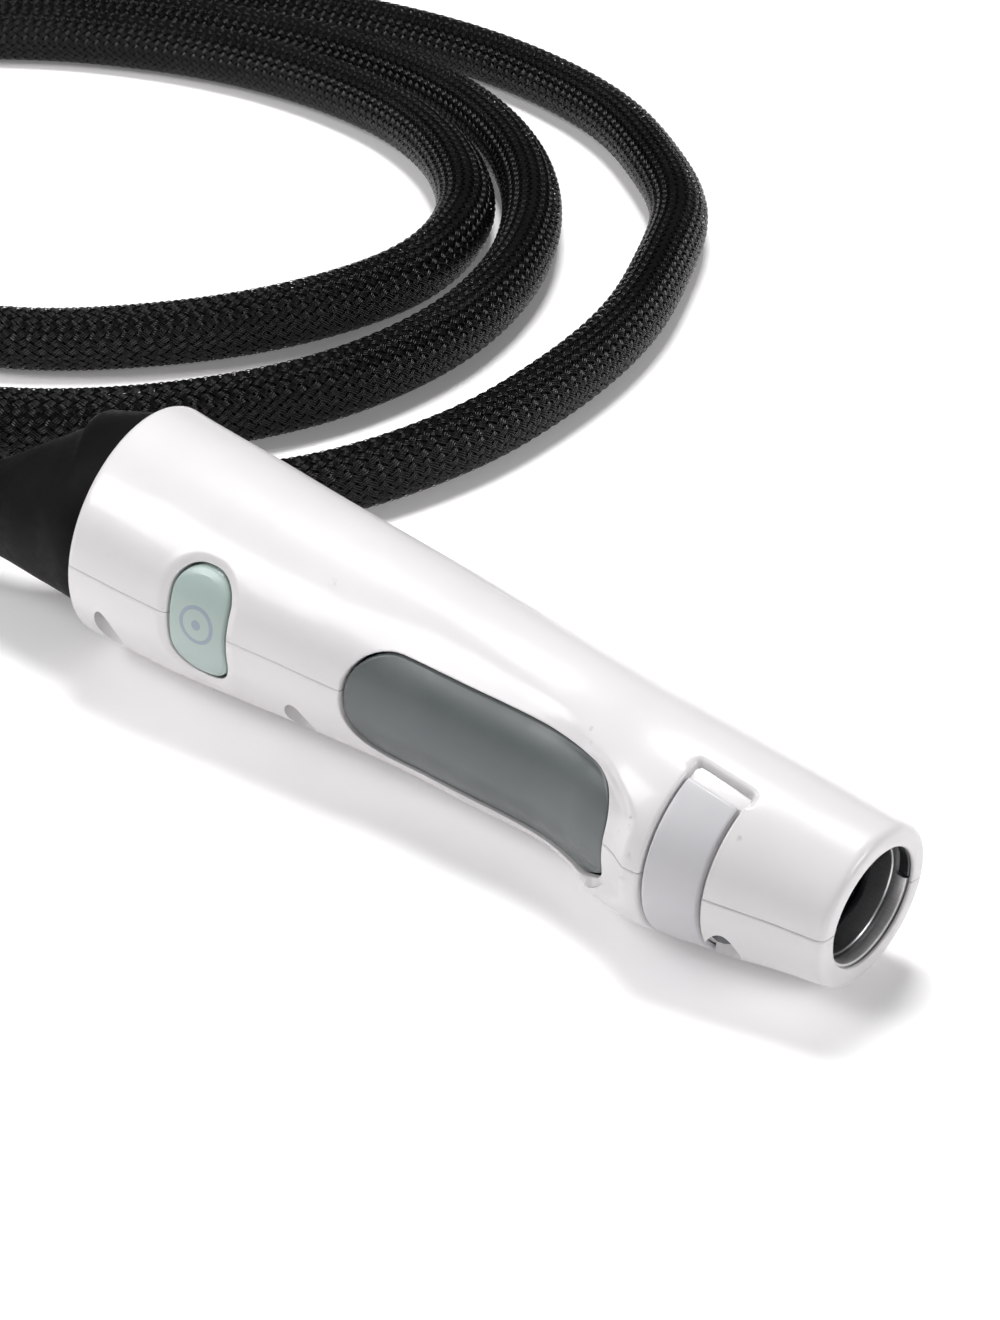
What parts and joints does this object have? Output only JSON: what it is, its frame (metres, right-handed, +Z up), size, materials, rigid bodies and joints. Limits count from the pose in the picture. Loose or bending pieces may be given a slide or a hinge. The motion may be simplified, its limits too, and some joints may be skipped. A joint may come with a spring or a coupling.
{
  "type": "laser handpiece",
  "caption": "Hand-held laser handpiece with finger trigger, thumb button and tip-lock band, on a long braided umbilical with a console connector.",
  "frame": {"origin": "on the table plane, under the middle of the handpiece's box, boot included", "axes": "+X from the rear towards the nose, -Y is the side of the trigger and the button, +Z up from the table the handpiece lies on"},
  "size_m": [0.6101, 0.3763, 0.0545],
  "materials": {
    "white_plastic": "satin",
    "grey_plastic": "matt",
    "button_plastic": "satin",
    "band_plastic": "satin",
    "aluminium": "satin",
    "black_anodised": "black anodised",
    "steel": "bright",
    "brass": "turned",
    "lens_glass": "polished, coated",
    "circuit_board": "laminate",
    "black_rubber": "matt moulded",
    "black_plastic": "matt",
    "braided_sleeve": "braided plastic sleeve over a soft hose bundle",
    "fibre_jacket": "smooth jacket"
  },
  "bodies": {
    "housing": {"upper_shell": "white_plastic", "lower_shell": "white_plastic", "nose_sleeve": "aluminium", "lens_barrel": "black_anodised", "rear_lens": "lens_glass", "lens_spacer": "black_anodised", "front_lens": "lens_glass", "lens_retainer": "aluminium", "window_seal": "black_rubber", "nose_window": "lens_glass", "window_retainer": "aluminium", "chassis": "aluminium", "collimator_housing": "black_anodised", "collimator_lens": "lens_glass", "fibre_ferrule": "steel", "fibre_nut": "brass", "optical_fibre": "fibre_jacket", "circuit_board": "circuit_board", "board_connector": "black_plastic", "button_switch": "black_plastic", "button_spring": "steel", "trigger_switch": "black_plastic", "trigger_spring": "steel", "wire_harness": "black_rubber", "trigger_lead": "black_rubber", "trigger_pin": "steel", "trigger_bracket": "aluminium", "umbilical_stub": "black_rubber", "clamp_upper": "aluminium", "clamp_lower": "aluminium", "clamp_screw_1": "steel", "clamp_screw_2": "steel", "strain_relief_boot": "black_rubber", "umbilical": "braided_sleeve", "connector_boot": "black_rubber", "connector_body": "aluminium", "connector_contacts": "black_plastic", "case_screw_1": "steel", "case_screw_2": "steel", "case_screw_3": "steel", "case_screw_4": "steel", "case_screw_5": "steel", "case_screw_6": "steel", "nose_liner": "aluminium"},
    "trigger": {"trigger_paddle": "grey_plastic"},
    "trigger_plunger": {"trigger_plunger": "grey_plastic"},
    "button": {"mode_button": "button_plastic"},
    "button_plunger": {"button_plunger": "grey_plastic"},
    "lock_band": {"lock_band": "band_plastic"},
    "lock_sleeve": {"lock_sleeve": "aluminium"},
    "connector_collar": {"connector_collar": "black_anodised"}
  },
  "joints": [
    {"name": "trigger_press", "type": "hinge", "parent": "housing", "child": "trigger", "pos_m": [0.01156, -0.01172, 0.0253], "axis": [0.0394, 0.1132, 0.9928], "range_deg": [0, 2.5], "stiffness_Nm_per_rad": 2, "springref_deg": -1.72, "deforming": ["trigger_spring"]},
    {"name": "trigger_plunger_slide", "type": "slide", "parent": "housing", "child": "trigger_plunger", "axis": [-0.0045, 0.9936, -0.1131], "range_m": [0, 0.0014]},
    {"name": "button_press", "type": "slide", "parent": "housing", "child": "button", "axis": [-0.0045, 0.9936, -0.1131], "range_m": [0, 0.001], "stiffness_N_per_m": 800, "springref_m": -0.0012, "deforming": ["button_spring"]},
    {"name": "button_plunger_slide", "type": "slide", "parent": "housing", "child": "button_plunger", "axis": [-0.0045, 0.9936, -0.1131], "range_m": [0, 0.0011]},
    {"name": "lock_band_turn", "type": "hinge", "parent": "housing", "child": "lock_band", "pos_m": [0.09244, -0.00034, 0.02079], "axis": [-0.9992, 0, 0.0396], "range_deg": [0, 9.5]},
    {"name": "lock_sleeve_turn", "type": "hinge", "parent": "housing", "child": "lock_sleeve", "pos_m": [0.10242, 0.00378, 0.01993], "axis": [-0.9992, 0, 0.0396], "range_deg": [0, 6.9]},
    {"name": "connector_collar_turn", "type": "hinge", "parent": "housing", "child": "connector_collar", "pos_m": [-0.31045, 0.07678, 0.0184], "axis": [-0.7732, 0.6341, 0], "range_deg": [0, 60]}
  ],
  "couplings": [
    {"joint": "trigger_plunger_slide", "follows": "trigger_press", "m_per_rad": 0.029},
    {"joint": "button_plunger_slide", "follows": "button_press", "ratio": 1},
    {"joint": "lock_sleeve_turn", "follows": "lock_band_turn", "ratio": 0.72}
  ]
}
